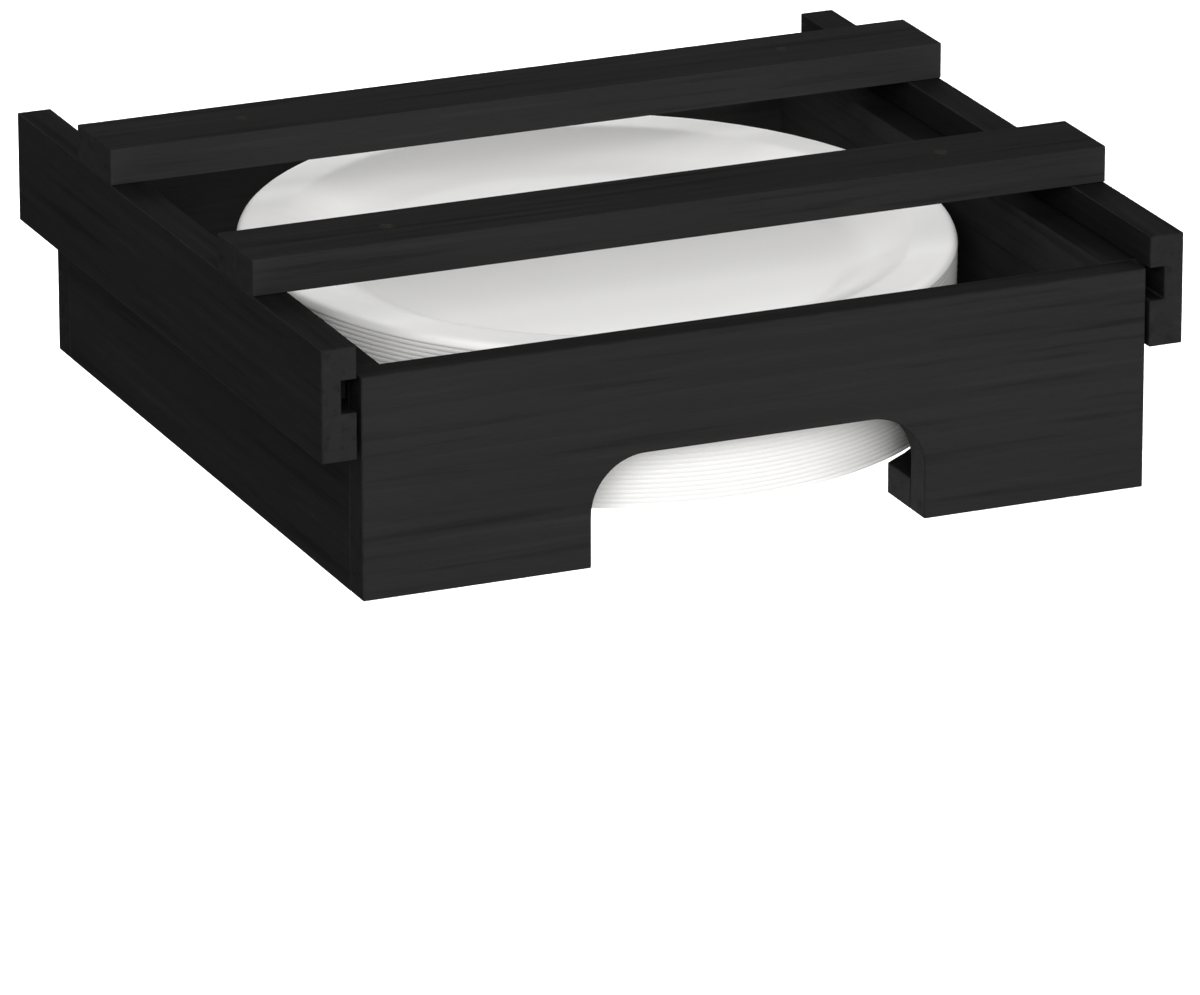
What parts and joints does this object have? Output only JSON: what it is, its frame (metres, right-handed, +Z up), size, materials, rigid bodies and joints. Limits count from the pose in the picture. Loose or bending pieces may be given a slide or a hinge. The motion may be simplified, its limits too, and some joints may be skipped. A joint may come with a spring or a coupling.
{
  "type": "under-cabinet plate dispenser",
  "caption": "Slide-out wooden tray on grooved rails under two crossbars, holding a stack of round paper plates that pull out through a front notch and a round floor hole.",
  "frame": {"origin": "under the middle of the tray, at the height of the tray's underside", "axes": "+X to the right seen from the front, +Y to the back, +Z up to the cabinet; the tray slides out along -Y"},
  "size_m": [0.2854, 0.259, 0.0929],
  "materials": {
    "stained_wood": "black stain, semi-matt, fine straight grain",
    "dowel_beech": "plain turned beech",
    "screw_steel": "black zinc",
    "plate_paper": "matt white paperboard"
  },
  "bodies": {
    "hanger": {"rail_left": "stained_wood", "rail_right": "stained_wood", "crossbar_front": "stained_wood", "crossbar_rear": "stained_wood", "bar_dowel_front_left_1": "dowel_beech", "bar_dowel_front_left_2": "dowel_beech", "bar_dowel_front_right_1": "dowel_beech", "bar_dowel_front_right_2": "dowel_beech", "bar_dowel_rear_left_1": "dowel_beech", "bar_dowel_rear_left_2": "dowel_beech", "bar_dowel_rear_right_1": "dowel_beech", "bar_dowel_rear_right_2": "dowel_beech"},
    "tray": {"back_panel": "stained_wood", "bottom_panel": "stained_wood", "corner_dowel_front_left_1": "dowel_beech", "corner_dowel_front_left_2": "dowel_beech", "corner_dowel_front_right_1": "dowel_beech", "corner_dowel_front_right_2": "dowel_beech", "corner_dowel_rear_left_1": "dowel_beech", "corner_dowel_rear_left_2": "dowel_beech", "corner_dowel_rear_right_1": "dowel_beech", "corner_dowel_rear_right_2": "dowel_beech", "floor_dowel_front_left": "dowel_beech", "floor_dowel_front_right": "dowel_beech", "floor_dowel_rear_left": "dowel_beech", "floor_dowel_rear_right": "dowel_beech", "front_panel": "stained_wood", "runner_left": "stained_wood", "runner_right": "stained_wood", "runner_screw_left_1": "screw_steel", "runner_screw_left_2": "screw_steel", "runner_screw_left_3": "screw_steel", "runner_screw_right_1": "screw_steel", "runner_screw_right_2": "screw_steel", "runner_screw_right_3": "screw_steel", "side_panel_left": "stained_wood", "side_panel_right": "stained_wood"},
    "plates": {"plate_bottom": "plate_paper", "plate_stack": "plate_paper", "plate_top": "plate_paper"}
  },
  "joints": [
    {"name": "tray_slide", "type": "slide", "parent": "hanger", "child": "tray", "axis": [0, -1, 0], "range_m": [0, 0.2]},
    {"name": "plates_lift", "type": "slide", "parent": "tray", "child": "plates", "axis": [0, 0, 1], "range_m": [0, 0.012]}
  ]
}
